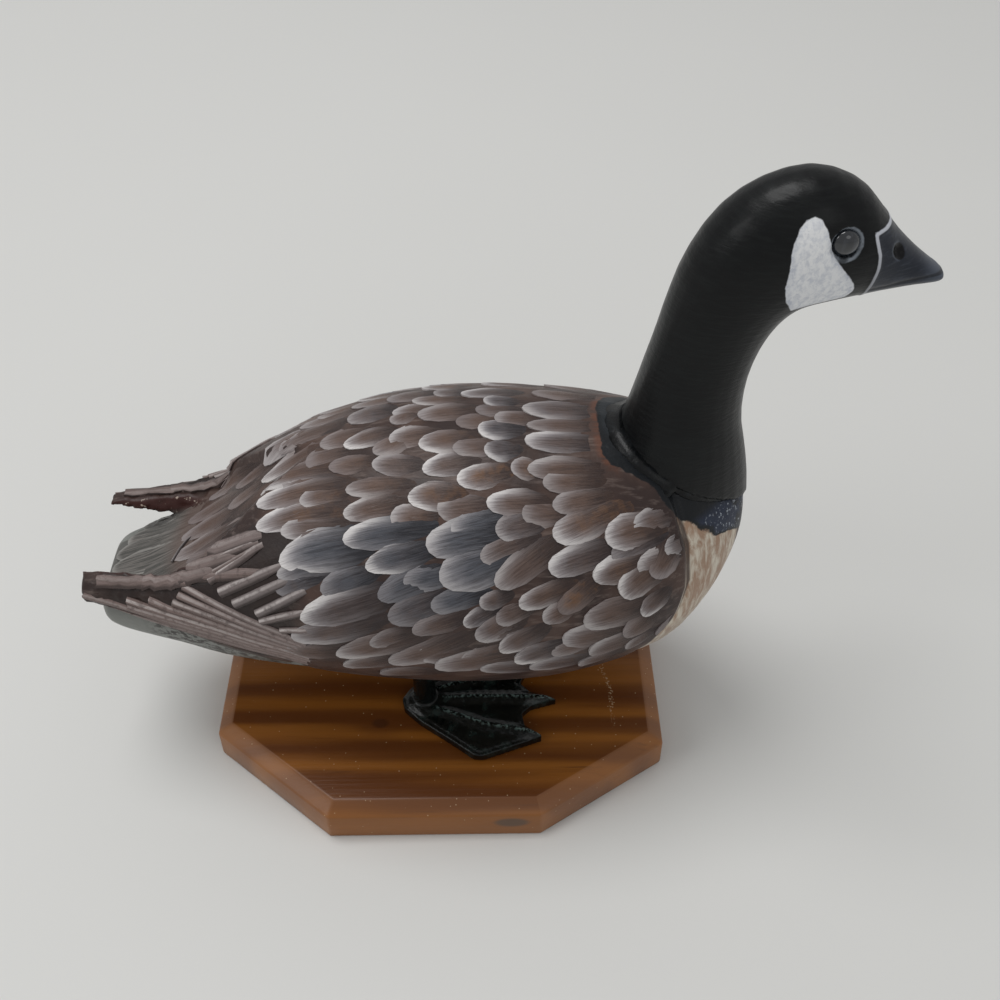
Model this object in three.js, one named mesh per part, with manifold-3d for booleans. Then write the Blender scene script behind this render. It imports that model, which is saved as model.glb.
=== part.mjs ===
// A Canada goose carved in wood and painted, standing on an eight-sided wooden plaque.
// Millimetres. +X runs to the bill, +Y to the goose's left, +Z up.
// The origin is on the underside of the plaque, at its middle.
import * as THREE from 'three';
import { mergeVertices } from 'three/addons/utils/BufferGeometryUtils.js';
import Module from 'manifold-3d';

const wasm = await Module();
wasm.setup();

// The gap between pieces that touch
const JOINT_GAP = 0.3;
// Points closer than this are one vertex
const MERGE_DISTANCE = 1e-4;

// The plaque
const PLAQUE_LENGTH = 200;
const PLAQUE_DEPTH = 172;
const PLAQUE_THICKNESS = 19;
const PLAQUE_CHAMFER_WIDTH = 6.4;
const PLAQUE_CHAMFER_DROP = 4.2;
const PLAQUE_CORNER_REAR = [53, 44];
const PLAQUE_CORNER_FRONT = [56, 36];

// The body, from the tail tip to the breast: where each section stands along X, its half width,
// its top and bottom heights, and how square it is, with 2 for an ellipse
const BODY_SECTIONS = [
  { x: -143.4, halfWidth: 17.5, top: 79.5, bottom: 73, square: 3 },
  { x: -140.5, halfWidth: 23.5, top: 81.5, bottom: 68.5, square: 3 },
  { x: -133, halfWidth: 27, top: 84.5, bottom: 65, square: 3 },
  { x: -120, halfWidth: 31.5, top: 90, bottom: 62, square: 2.7 },
  { x: -106, halfWidth: 36.5, top: 99, bottom: 58, square: 2.4 },
  { x: -91, halfWidth: 42, top: 111, bottom: 51.5, square: 2.2 },
  { x: -72, halfWidth: 48, top: 128, bottom: 46.5, square: 2.1 },
  { x: -48, halfWidth: 55.3, top: 145.8, bottom: 43.5, square: 2 },
  { x: -18, halfWidth: 61, top: 155.5, bottom: 41.5, square: 2 },
  { x: 16, halfWidth: 63.4, top: 159.4, bottom: 40, square: 2 },
  { x: 50, halfWidth: 61.3, top: 159, bottom: 41, square: 1.96 },
  { x: 80, halfWidth: 53, top: 157.5, bottom: 45.2, square: 1.93 },
  { x: 100, halfWidth: 42.5, top: 151, bottom: 52.5, square: 2 },
  { x: 114.5, halfWidth: 29, top: 142.5, bottom: 68, square: 2 },
  { x: 122.5, halfWidth: 19, top: 135.5, bottom: 84, square: 2 },
  { x: 127.3, halfWidth: 10.5, top: 128.5, bottom: 99, square: 2 },
  { x: 128.8, halfWidth: 3, top: 122, bottom: 109, square: 2 },
];
const BODY_RINGS = 38;
const BODY_RING_POINTS = 34;

// The wings: how far they stand proud of the body, and their own sections behind the body's middle
const WING_STEP = 2.2;
const WING_ON_BODY = { from: -60, to: 125 };
const WING_REAR_SECTIONS = [
  { x: -150, halfWidth: 27.5, top: 102.5, bottom: 80, square: 3.4 },
  { x: -130, halfWidth: 32.5, top: 106, bottom: 76, square: 3 },
  { x: -110, halfWidth: 38, top: 110.5, bottom: 70, square: 2.6 },
  { x: -90, halfWidth: 43.7, top: 121.5, bottom: 60, square: 2.3 },
  { x: -74, halfWidth: 49, top: 133.5, bottom: 50, square: 2.1 },
  { x: -60, halfWidth: 53.2, top: 142.4, bottom: 46, square: 2.05 },
];
const WING_TIP_X = -145;
// The lower edge forward of the tips, then the front edge up to the shoulder, as X and Z
const WING_LOWER_EDGE = [[-46, 69], [-14, 65.5], [20, 64.5], [52, 65.8], [76, 69]];
const WING_FRONT_EDGE = [[89, 81], [98, 96], [101.5, 111], [100, 127], [94, 144], [84, 158]];
const WING_EDGE_SEGMENTS = 30;
const WING_ABOVE = 200;
const WING_REACH = 80;
// The two wings run into each other this far past the middle of the back
const WING_OVERLAP = 0.5;
// Under each tip, as X and Z. The right tip ends in a blunt cut, and the left one in a point.
const RIGHT_TIP_UNDERSIDE = [[WING_TIP_X, 90.5], [-108, 84]];
const LEFT_TIP_UNDERSIDE = [[WING_TIP_X, 99.2], [-106, 90.4]];
// Down from the top, each wing loses a step at its long feathers, and the left one another behind it
const RIGHT_TIP_STEPS = [[-97, 108.5]];
const LEFT_TIP_STEPS = [[-88, 101.5], [-100, 99.6]];
const TIP_STEP_LEAN = 2;
// The V between the two wings over the rump: X, half width at the wings' upper edges, and their height
const RUMP_OPENING = [
  [-49, 1, 145], [-62, 8, 137], [-78, 19, 126], [-92, 27, 115],
  [-110, 29, 106], [-130, 26, 105.5], [-155, 21.5, 102.8],
];
const RUMP_OPENING_SLANT = 0.6;

// The flat seat of the neck, cut across the top of the breast
const SEAT_REAR = new THREE.Vector2(76, 157.5);
const SEAT_FRONT = new THREE.Vector2(131, 125);

// The neck, head and bill: pairs of points at the back and front of the outline, half width,
// how square the section is, and how much wider it is to the back than to the front
const NECK_SECTIONS = [
  { back: [71, 153], front: [129.8, 112], halfWidth: 24.5, square: 2, egg: 0.22 },
  { back: [76, 163.5], front: [129.6, 128.5], halfWidth: 23.4, square: 2, egg: 0.2 },
  { back: [79.3, 177], front: [126.4, 147], halfWidth: 21.2, square: 2, egg: 0.14 },
  { back: [82, 190], front: [122.2, 165], halfWidth: 18.8, square: 2, egg: 0.08 },
  { back: [84.8, 203], front: [121.5, 182], halfWidth: 17.6, square: 2, egg: 0 },
  { back: [88, 219], front: [124, 197], halfWidth: 17.4, square: 2, egg: 0 },
  { back: [92.8, 236.3], front: [129, 209.4], halfWidth: 18, square: 2, egg: 0 },
  { back: [102.3, 253.2], front: [135.5, 217.3], halfWidth: 19, square: 2.1, egg: 0 },
  { back: [116, 264.6], front: [144, 220], halfWidth: 19.4, square: 2.1, egg: 0 },
  { back: [133, 269.5], front: [150.5, 221.5], halfWidth: 18.8, square: 2.1, egg: 0 },
  { back: [148.6, 264.8], front: [156.5, 222.6], halfWidth: 16.4, square: 2.1, egg: 0 },
  { back: [157.9, 255.8], front: [161, 223.3], halfWidth: 13.4, square: 2.1, egg: 0 },
  { back: [164.6, 247.5], front: [166, 224.1], halfWidth: 11, square: 2.1, egg: 0 },
  { back: [172.8, 239.6], front: [173, 225.4], halfWidth: 8.6, square: 2.1, egg: 0 },
  { back: [180, 233.8], front: [180, 226.3], halfWidth: 6.4, square: 2.2, egg: 0 },
  { back: [183.8, 231.4], front: [183.6, 226.6], halfWidth: 4.6, square: 2.2, egg: 0 },
  { back: [184.9, 230], front: [184.8, 227.2], halfWidth: 3, square: 2.2, egg: 0 },
];
const NECK_RINGS = 34;
const NECK_RING_POINTS = 24;

// The eyes: flat glass beads let into the head
const EYE_CENTRE = new THREE.Vector3(142.5, 15.9, 250.5);
const EYE_RADIUS = 5.1;
const EYE_FLATTENING = 0.62;
const EYE_SEGMENTS = [16, 10];

// The feet and legs. The outline is that of the right foot, about the line of its middle toe.
// Each leg is sunk some way into its foot.
const FOOT_AXIS_Y = -31;
const FOOT_HEIGHT = 6.5;
const FOOT_BEVEL = 2.2;
const FOOT_OUTLINE = [
  [-14, 6], [-17, 1], [-16, -4], [-8, -12], [6, -22.5], [15.5, -30], [19, -30.5], [31, -26],
  [46, -20.5], [38, -14.5], [37, -8], [41, -4], [52.5, -0.5], [41, 4], [36.5, 9],
  [39, 14.5], [47, 19], [32, 25.5], [19, 30], [15.5, 29.5], [6, 22], [-8, 12],
];
const LEG_X = -6.5;
const LEG_RADIUS = 5;
const LEG_TOP = 66;
const LEG_SINK = 5;
const LEG_SEGMENTS = 24;

// The paints and woods
const PAINT = {
  feathers: { color: 0x6f625c, roughness: 0.62 },
  black: { color: 0x15171a, roughness: 0.38 },
  foot: { color: 0x111416, roughness: 0.35 },
  eye: { color: 0x2a2c33, roughness: 0.12 },
  plaque: { color: 0x9a5f2c, roughness: 0.42 },
};

// Makes a closed solid from a geometry, its vertices merged by place alone.
function solidOf(geometry) {
  const bare = geometry.clone();
  bare.deleteAttribute('normal');
  bare.deleteAttribute('uv');
  const merged = mergeVertices(bare, MERGE_DISTANCE);
  const mesh = new wasm.Mesh({
    numProp: 3,
    vertProperties: new Float32Array(merged.attributes.position.array),
    triVerts: new Uint32Array(merged.index.array),
  });
  return new wasm.Manifold(mesh);
}

// Makes a geometry from a solid.
function geometryOf(solid) {
  const mesh = solid.getMesh();
  const geometry = new THREE.BufferGeometry();
  geometry.setAttribute('position', new THREE.BufferAttribute(mesh.vertProperties, 3));
  geometry.setIndex(new THREE.BufferAttribute(mesh.triVerts, 1));
  geometry.computeVertexNormals();
  return geometry;
}

// Joins rings of points into a closed skin, with a fan over each end.
function loft(rings) {
  const around = rings[0].length;
  const points = rings.flat();
  const middleOf = (ring) => ring.reduce((sum, p) => sum.add(p), new THREE.Vector3()).divideScalar(around);
  points.push(middleOf(rings[0]), middleOf(rings.at(-1)));
  const index = [];
  for (let r = 0; r + 1 < rings.length; r += 1) {
    for (let i = 0; i < around; i += 1) {
      const a = r * around + i;
      const b = r * around + ((i + 1) % around);
      index.push(a, b, a + around, b, b + around, a + around);
    }
  }
  const last = (rings.length - 1) * around;
  for (let i = 0; i < around; i += 1) {
    const next = (i + 1) % around;
    index.push(points.length - 2, next, i, points.length - 1, last + i, last + next);
  }
  const geometry = new THREE.BufferGeometry().setFromPoints(points);
  geometry.setIndex(index);
  return geometry;
}

// A value on the smooth curve through four neighbouring values.
function between(p0, p1, p2, p3, t) {
  const v0 = (p2 - p0) / 2;
  const v1 = (p3 - p1) / 2;
  return (2 * p1 - 2 * p2 + v0 + v1) * t ** 3 + (-3 * p1 + 3 * p2 - 2 * v0 - v1) * t ** 2 + v0 * t + p1;
}

// The section at a share of the way along a list of sections, all its sizes blended smoothly.
function sectionAt(sections, share) {
  const place = share * (sections.length - 1);
  const low = Math.min(Math.floor(place), sections.length - 2);
  const pick = (i) => sections[THREE.MathUtils.clamp(i, 0, sections.length - 1)];
  const blend = (read) => between(...[-1, 0, 1, 2].map((k) => read(pick(low + k))), place - low);
  return blend;
}

// A point on the unit superellipse.
function superellipse(angle, square) {
  const power = 2 / square;
  const c = Math.cos(angle);
  const s = Math.sin(angle);
  return [Math.sign(c) * Math.abs(c) ** power, Math.sign(s) * Math.abs(s) ** power];
}

// The rings of an upright-section body, made larger by a margin.
function bodyLoft(sections, margin = 0) {
  const rings = [];
  for (let r = 0; r <= BODY_RINGS; r += 1) {
    const blend = sectionAt(sections, r / BODY_RINGS);
    const halfWidth = blend((s) => s.halfWidth) + margin;
    const top = blend((s) => s.top) + margin;
    const bottom = blend((s) => s.bottom) - margin;
    const square = blend((s) => s.square);
    const ring = [];
    for (let i = 0; i < BODY_RING_POINTS; i += 1) {
      const [across, up] = superellipse((2 * Math.PI * i) / BODY_RING_POINTS, square);
      const z = (top + bottom) / 2 + (up * (top - bottom)) / 2;
      ring.push(new THREE.Vector3(blend((s) => s.x), across * halfWidth, z));
    }
    rings.push(ring);
  }
  return loft(rings);
}

// The side outline of a wing as a block, on the right for side -1 and on the left for side 1.
function wingBlock(side, underside, steps) {
  const outline = new THREE.Shape();
  outline.moveTo(...underside[0]);
  outline.lineTo(...underside[1]);
  outline.lineTo(...WING_LOWER_EDGE[0]);
  const edge = [...WING_LOWER_EDGE.slice(1), ...WING_FRONT_EDGE];
  outline.splineThru(edge.map(([x, z]) => new THREE.Vector2(x, z)));
  outline.lineTo(WING_FRONT_EDGE.at(-1)[0], WING_ABOVE);
  let height = WING_ABOVE;
  for (const [x, z] of steps) {
    outline.lineTo(x, height);
    outline.lineTo(x - TIP_STEP_LEAN, z);
    height = z;
  }
  outline.lineTo(WING_TIP_X, height);
  const depth = WING_REACH + WING_OVERLAP;
  const curveSegments = WING_EDGE_SEGMENTS;
  const block = new THREE.ExtrudeGeometry(outline, { depth, bevelEnabled: false, curveSegments });
  block.rotateX(Math.PI / 2);
  block.translate(0, side > 0 ? WING_REACH : WING_OVERLAP, 0);
  return solidOf(block);
}

// The wedge of air between the wings, over the rump.
function rumpOpening() {
  const rings = RUMP_OPENING.map(([x, halfWidth, z]) => {
    const foot = z - halfWidth / RUMP_OPENING_SLANT;
    const reach = halfWidth + (WING_ABOVE - z) * RUMP_OPENING_SLANT;
    return [[0, foot], [-reach, WING_ABOVE], [reach, WING_ABOVE]].map((p) => new THREE.Vector3(x, ...p));
  });
  return solidOf(loft(rings));
}

// All that lies above the neck's seat for side 1, or below it for side -1, less half the gap.
function seatBlock(side) {
  const size = 2 * PLAQUE_LENGTH;
  const slope = SEAT_FRONT.clone().sub(SEAT_REAR);
  const middle = SEAT_REAR.clone().add(SEAT_FRONT).multiplyScalar(0.5);
  const block = new THREE.BoxGeometry(size, size, size);
  block.translate(0, 0, side * (size / 2 - JOINT_GAP / 2));
  block.rotateY(-slope.angle());
  block.translate(middle.x, 0, middle.y);
  return solidOf(block);
}

// The body with its wings and tail, carved from one block.
function bodySolid() {
  const { from, to } = WING_ON_BODY;
  const front = BODY_SECTIONS.filter((s) => s.x > from && s.x < to).map((s) => ({
    ...s,
    halfWidth: s.halfWidth + WING_STEP,
    top: s.top + WING_STEP,
  }));
  const envelope = solidOf(bodyLoft([...WING_REAR_SECTIONS, ...front])).subtract(rumpOpening());
  const right = envelope.intersect(wingBlock(-1, RIGHT_TIP_UNDERSIDE, RIGHT_TIP_STEPS));
  const left = envelope.intersect(wingBlock(1, LEFT_TIP_UNDERSIDE, LEFT_TIP_STEPS));
  return solidOf(bodyLoft(BODY_SECTIONS)).add(right).add(left).subtract(seatBlock(1));
}

// The neck, head and bill before they are cut to the seat and the eyes.
function neckLoft() {
  const rings = [];
  for (let r = 0; r <= NECK_RINGS; r += 1) {
    const blend = sectionAt(NECK_SECTIONS, r / NECK_RINGS);
    const back = new THREE.Vector3(blend((s) => s.back[0]), 0, blend((s) => s.back[1]));
    const front = new THREE.Vector3(blend((s) => s.front[0]), 0, blend((s) => s.front[1]));
    const middle = back.clone().add(front).multiplyScalar(0.5);
    const reach = back.clone().sub(middle);
    const halfWidth = blend((s) => s.halfWidth);
    const square = blend((s) => s.square);
    const egg = blend((s) => s.egg);
    const ring = [];
    for (let i = 0; i < NECK_RING_POINTS; i += 1) {
      const [across, along] = superellipse((2 * Math.PI * i) / NECK_RING_POINTS, square);
      const p = middle.clone().addScaledVector(reach, along);
      p.y = across * halfWidth * (1 + egg * along);
      ring.push(p);
    }
    rings.push(ring);
  }
  return loft(rings);
}

// An eye bead in its place, made larger by a margin for its socket.
function eyeBead(side, margin = 0) {
  const bead = new THREE.SphereGeometry(EYE_RADIUS + margin, ...EYE_SEGMENTS);
  bead.scale(1, (EYE_RADIUS * EYE_FLATTENING + margin) / (EYE_RADIUS + margin), 1);
  bead.translate(EYE_CENTRE.x, side * EYE_CENTRE.y, EYE_CENTRE.z);
  return bead;
}

// The neck, head and bill, carved from one block, with a socket for each eye.
function neckSolid() {
  const sockets = solidOf(eyeBead(-1, JOINT_GAP)).add(solidOf(eyeBead(1, JOINT_GAP)));
  return solidOf(neckLoft()).subtract(seatBlock(-1)).subtract(sockets);
}

// A webbed foot with its short leg, the leg's top shaped to the belly.
function footSolid(side) {
  const outline = new THREE.Shape(FOOT_OUTLINE.map(([x, y]) => new THREE.Vector2(x, y)));
  const foot = new THREE.ExtrudeGeometry(outline, {
    depth: FOOT_HEIGHT - FOOT_BEVEL,
    bevelEnabled: true,
    bevelThickness: FOOT_BEVEL,
    bevelSize: FOOT_BEVEL,
    bevelOffset: -FOOT_BEVEL,
    bevelSegments: 1,
  });
  const sole = PLAQUE_THICKNESS + JOINT_GAP;
  foot.translate(0, FOOT_AXIS_Y, sole);
  const legFoot = sole + FOOT_HEIGHT - LEG_SINK;
  const leg = new THREE.CylinderGeometry(LEG_RADIUS, LEG_RADIUS, LEG_TOP - legFoot, LEG_SEGMENTS);
  leg.rotateX(Math.PI / 2);
  leg.translate(LEG_X, FOOT_AXIS_Y, (LEG_TOP + legFoot) / 2);
  const below = new THREE.BoxGeometry(PLAQUE_LENGTH, PLAQUE_DEPTH, 2 * sole);
  const right = solidOf(foot).add(solidOf(leg)).subtract(solidOf(below));
  const body = solidOf(bodyLoft(BODY_SECTIONS, JOINT_GAP));
  return side > 0 ? right.mirror([0, 1, 0]).subtract(body) : right.subtract(body);
}

// The plaque's outline, anticlockwise from above, moved in from its edges by a distance.
function plaqueOutline(inset) {
  const x = PLAQUE_LENGTH / 2 - inset;
  const y = PLAQUE_DEPTH / 2 - inset;
  const moved = ([along, across]) => {
    const slant = Math.hypot(along, across);
    const grow = inset * ((along + across - slant) / across);
    const shorter = inset * ((along + across - slant) / along);
    return [along - grow, across - shorter];
  };
  const [rx, ry] = moved(PLAQUE_CORNER_REAR);
  const [fx, fy] = moved(PLAQUE_CORNER_FRONT);
  return [
    [x, -y + fy], [x, y - fy], [x - fx, y], [-x + rx, y],
    [-x, y - ry], [-x, -y + ry], [-x + rx, -y], [x - fx, -y],
  ];
}

// The plaque: an eight-sided board with a chamfer round its top.
function plaqueGeometry() {
  const shoulder = PLAQUE_THICKNESS - PLAQUE_CHAMFER_DROP;
  const ring = (inset, z) => plaqueOutline(inset).map(([px, py]) => new THREE.Vector3(px, py, z));
  return loft([ring(0, 0), ring(0, shoulder), ring(PLAQUE_CHAMFER_WIDTH, PLAQUE_THICKNESS)]);
}

function piece(name, geometry, finish) {
  const mesh = new THREE.Mesh(geometry, new THREE.MeshStandardMaterial({ ...finish, metalness: 0 }));
  mesh.name = name;
  return mesh;
}

const goose = new THREE.Group();
goose.add(piece('plaque', plaqueGeometry(), PAINT.plaque));
goose.add(piece('body', geometryOf(bodySolid()), PAINT.feathers));
goose.add(piece('neck_and_head', geometryOf(neckSolid()), PAINT.black));
for (const [word, side] of [['right', -1], ['left', 1]]) {
  goose.add(piece(`${word}_eye`, eyeBead(side), PAINT.eye));
  goose.add(piece(`${word}_leg_and_foot`, geometryOf(footSolid(side)), PAINT.foot));
}

export default goose;
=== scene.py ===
import math
import random

import bpy
import numpy as np
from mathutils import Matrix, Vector
from mathutils.bvhtree import BVHTree
from mathutils.noise import turbulence


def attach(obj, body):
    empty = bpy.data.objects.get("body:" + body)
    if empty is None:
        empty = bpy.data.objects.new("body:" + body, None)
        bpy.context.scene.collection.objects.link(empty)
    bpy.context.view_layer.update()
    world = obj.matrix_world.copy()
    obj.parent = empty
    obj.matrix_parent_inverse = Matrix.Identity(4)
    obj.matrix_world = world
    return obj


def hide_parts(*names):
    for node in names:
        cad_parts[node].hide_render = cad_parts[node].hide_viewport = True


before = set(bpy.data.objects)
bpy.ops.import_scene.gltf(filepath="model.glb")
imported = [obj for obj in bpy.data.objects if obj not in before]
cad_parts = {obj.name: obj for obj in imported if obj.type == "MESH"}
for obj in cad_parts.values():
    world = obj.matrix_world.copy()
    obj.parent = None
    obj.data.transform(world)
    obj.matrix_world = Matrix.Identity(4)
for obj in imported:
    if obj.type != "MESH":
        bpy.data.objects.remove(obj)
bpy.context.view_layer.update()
MM = 0.001


# The table, the light and the viewpoint. A pale table top fills the view under a wide soft light from
# above and behind, with a weaker one from the left. The viewer stands over the goose's right side.
TABLE_COLOUR = (0.71, 0.71, 0.69, 1)
EYE_PLACE = (0.0224, -0.3624, 0.4650)
EYE_TILT_DOWN = 43.7
EYE_TURN_RIGHT = 0.84
EYE_FOCAL_LENGTH = 43.2
SOFT_LIGHTS = [
    # name, place, aimed at, size, power
    ("ceiling_light", (-0.6, 0.35, 2.4), (0, 0, 0.1), 1.3, 24),
    ("window_light", (-2.0, -0.8, 1.5), (0, 0, 0.1), 1.0, 7),
    ("front_light", (0.9, -2.0, 1.6), (0, 0, 0.1), 1.2, 3),
]
ROOM_BRIGHTNESS = 0.46

bpy.ops.object.select_all(action="DESELECT")
bpy.ops.mesh.primitive_plane_add(size=8, location=(0, 1, 0))
table_top = bpy.context.active_object
table_top.name = "table_top"

bpy.ops.object.camera_add(
    location=EYE_PLACE,
    rotation=(math.radians(90 - EYE_TILT_DOWN), 0, math.radians(-EYE_TURN_RIGHT)),
)
viewer = bpy.context.active_object
viewer.name = "viewer"
viewer.data.lens = EYE_FOCAL_LENGTH
viewer.data.sensor_width = 36
viewer.data.clip_start = 0.01
bpy.context.scene.camera = viewer

for light_name, place, target, size, power in SOFT_LIGHTS:
    aim = (Vector(target) - Vector(place)).to_track_quat("-Z", "Y").to_euler()
    bpy.ops.object.light_add(type="AREA", location=place, rotation=aim)
    soft_light = bpy.context.active_object
    soft_light.name = light_name
    soft_light.data.shape = "DISK"
    soft_light.data.size = size
    soft_light.data.energy = power

room = bpy.data.worlds.new("room")
room.use_nodes = True
room.node_tree.nodes["Background"].inputs["Color"].default_value = (1, 1, 1, 1)
room.node_tree.nodes["Background"].inputs["Strength"].default_value = ROOM_BRIGHTNESS
bpy.context.scene.world = room
bpy.context.scene.view_settings.view_transform = "Standard"


class Wire:
    """A shader socket that takes part in sums, so that a finish reads as arithmetic."""

    def __init__(self, tree, socket=None):
        self.tree, self.socket = tree, socket

    def node(self, kind, inputs, settings=None, stops=None, output=0):
        """Any node: its settings first, then the values or links of its sockets."""
        made = self.tree.nodes.new("ShaderNode" + kind)
        for name, value in (settings or {}).items():
            setattr(made, name, value)
        if stops:
            ramp = made.color_ramp.elements
            while len(ramp) < len(stops):
                ramp.new(1)
            for element, (place, shade) in zip(ramp, stops):
                element.position, element.color = place, shade
        for key, value in inputs.items():
            if isinstance(value, Wire):
                self.tree.links.new(value.socket, made.inputs[key])
            else:
                made.inputs[key].default_value = value
        return Wire(self.tree, made.outputs[output])

    def sum(self, operation, *values):
        return self.node("Math", dict(enumerate(values)), {"operation": operation})

    def __add__(self, other):
        return self.sum("ADD", self, other)

    def __sub__(self, other):
        return self.sum("SUBTRACT", self, other)

    def __mul__(self, other):
        return self.sum("MULTIPLY", self, other)

    def __truediv__(self, other):
        return self.sum("DIVIDE", self, other)

    def __pow__(self, other):
        return self.sum("POWER", self, other)

    def __radd__(self, other):
        return self.sum("ADD", other, self)

    def __rsub__(self, other):
        return self.sum("SUBTRACT", other, self)

    def __rmul__(self, other):
        return self.sum("MULTIPLY", other, self)

    def rise(self, low, high):
        """0 below low, 1 above high, and a soft rise between. With low above high it falls."""
        places = {"Value": self, "From Min": low, "From Max": high}
        return self.node("MapRange", places, {"interpolation_type": "SMOOTHSTEP"})

    def least(self, other):
        return self.sum("MINIMUM", self, other)

    def most(self, other):
        return self.sum("MAXIMUM", self, other)

    def paint(self, under, over):
        """Lays the colour over on the colour under where this mask is 1."""
        inputs = {0: self, 6: under, 7: over}
        return self.node("Mix", inputs, {"data_type": "RGBA"}, output=2)


class Finish(Wire):
    """A new material with its places to read from and its one surface shader."""

    def __init__(self, name, roughness, coat=0.0, coat_roughness=0.1, gloss=0.4):
        self.material = bpy.data.materials.new(name)
        self.material.use_nodes = True
        super().__init__(self.material.node_tree)
        self.shader = self.tree.nodes["Principled BSDF"]
        self.shader.inputs["Roughness"].default_value = roughness
        self.shader.inputs["Coat Weight"].default_value = coat
        self.shader.inputs["Coat Roughness"].default_value = coat_roughness
        self.shader.inputs["Specular IOR Level"].default_value = gloss
        self.place = self.node("TexCoord", {}, output=3)

    def stretched(self, scale, turn=(0, 0, 0), source=None, shift=(0, 0, 0)):
        """The object's own coordinates, stretched and turned, for a pattern to lie along."""
        inputs = {"Vector": source or self.place, "Scale": scale, "Rotation": turn}
        inputs["Location"] = shift
        return self.node("Mapping", inputs)

    def axis(self, vector=None):
        made = self.tree.nodes.new("ShaderNodeSeparateXYZ")
        self.tree.links.new((vector or self.place).socket, made.inputs[0])
        return [Wire(self.tree, made.outputs[i]) for i in range(3)]

    def noise(self, vector, scale=1.0, detail=3.0, roughness=0.5, distortion=0.0):
        inputs = {"Vector": vector, "Scale": scale, "Detail": detail}
        inputs.update({"Roughness": roughness, "Distortion": distortion})
        return self.node("TexNoise", inputs)

    def field(self, name):
        return self.node("Attribute", {}, {"attribute_name": name}, output=2)

    def finish(self, colour, roughness=None, height=None, depth=0.0):
        """Links the colour, and where given the roughness and a relief of so many metres."""
        self.tree.links.new(colour.socket, self.shader.inputs["Base Color"])
        if roughness:
            self.tree.links.new(roughness.socket, self.shader.inputs["Roughness"])
        if height:
            bump = self.node("Bump", {"Height": height, "Distance": depth, "Strength": 1.0})
            self.tree.links.new(bump.socket, self.shader.inputs["Normal"])
        return self.material


table_paint = Finish("table_paint", 0.55)
speckle = table_paint.noise(table_paint.place, 3.0, 2.0)
table_top.data.materials.append(
    table_paint.finish(speckle.paint(TABLE_COLOUR, tuple(0.97 * c for c in TABLE_COLOUR)))
)


# The plaque. One eight-sided board of orange-brown softwood, its grain along the goose, with a wide
# chamfer round the top. It is stained and varnished, and its edges are rubbed soft by handling.
EDGE_SOFTNESS = 0.9 * MM
WOOD_LIGHT = (0.255, 0.090, 0.012, 1)
WOOD_DARK = (0.105, 0.030, 0.004, 1)
WOOD_STREAK = (0.032, 0.010, 0.004, 1)
WOOD_EDGE = (0.36, 0.175, 0.085, 1)
WOOD_SCRATCH = (0.62, 0.47, 0.30, 1)
KNOTS = [
    # x, y, radius along, radius across, on the top, in metres
    (-0.0265, -0.0405, 0.0042, 0.0028),
    (0.0520, -0.0120, 0.0030, 0.0022),
    (-0.0700, 0.0450, 0.0050, 0.0034),
]


def merged_copy(node, name):
    """A copy of a CAD node as a new piece, its loose triangles merged, ready in edit mode."""
    bpy.ops.object.select_all(action="DESELECT")
    piece = bpy.data.objects.new(name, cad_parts[node].data.copy())
    piece.data.materials.clear()
    bpy.context.scene.collection.objects.link(piece)
    piece.select_set(True)
    bpy.context.view_layer.objects.active = piece
    bpy.ops.object.mode_set(mode="EDIT")
    bpy.ops.mesh.select_all(action="SELECT")
    bpy.ops.mesh.remove_doubles(threshold=1e-6)
    return piece


def apply(piece, kind, **settings):
    """Adds a modifier to the piece and applies it."""
    bpy.context.view_layer.objects.active = piece
    modifier = piece.modifiers.new(kind.lower(), kind)
    for name, value in settings.items():
        setattr(modifier, name, value)
    bpy.ops.object.modifier_apply(modifier=modifier.name)


def placed(piece, slot, material, *nodes, body="root"):
    """Gives the piece its material, lets it ride and hides what it replaces. The slot is not used."""
    piece.data.materials.clear()
    piece.data.materials.append(material)
    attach(piece, body)
    if nodes:
        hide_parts(*nodes)


plaque = merged_copy("plaque", "varnished_plaque")
bpy.ops.mesh.dissolve_limited(angle_limit=math.radians(2))
bpy.ops.object.mode_set(mode="OBJECT")
apply(plaque, "BEVEL", width=EDGE_SOFTNESS, segments=3, limit_method="ANGLE", angle_limit=0.35)
bpy.ops.object.shade_smooth_by_angle(angle=math.radians(40))

varnish = Finish("varnished_softwood", 0.36, coat=0.10, coat_roughness=0.2, gloss=0.25)
x, y, z = varnish.axis()
wander = varnish.noise(varnish.place, 14, 2) - 0.5
grain_line = varnish.stretched((5.5, 62, 30))
grain = varnish.noise(grain_line, 1.0, 5, 0.62, 0.35)
fine_grain = varnish.noise(varnish.stretched((22, 520, 220)), 1.0, 3, 0.6)
ring = varnish.node(
    "TexWave",
    {"Vector": varnish.stretched((1.4, 17, 9)), "Scale": 1.0, "Distortion": 9.0, "Detail": 3.0,
     "Detail Scale": 1.2, "Detail Roughness": 0.6},
    {"wave_type": "BANDS", "bands_direction": "Y"},
)
wood = (ring * 0.55 + grain * 0.6 - 0.12).rise(0.15, 0.85).paint(WOOD_DARK, WOOD_LIGHT)
streak = varnish.noise(varnish.stretched((9, 210, 90), shift=(3, 1, 0)), 1.0, 4, 0.65).rise(0.62, 0.74)
wood = (streak * 0.55).paint(wood, WOOD_STREAK)
wood = ((fine_grain - 0.5).rise(0.05, 0.3) * 0.35).paint(wood, WOOD_DARK)
for knot_x, knot_y, along, across in KNOTS:
    away = ((((x - knot_x + wander * 0.004) / along) ** 2) + (((y - knot_y) / across) ** 2)) ** 0.5
    wood = (away.rise(1.25, 0.55) * 0.9).paint(wood, WOOD_STREAK)
    wood = (away.rise(3.6, 1.2) * 0.45).paint(wood, WOOD_DARK)
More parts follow.
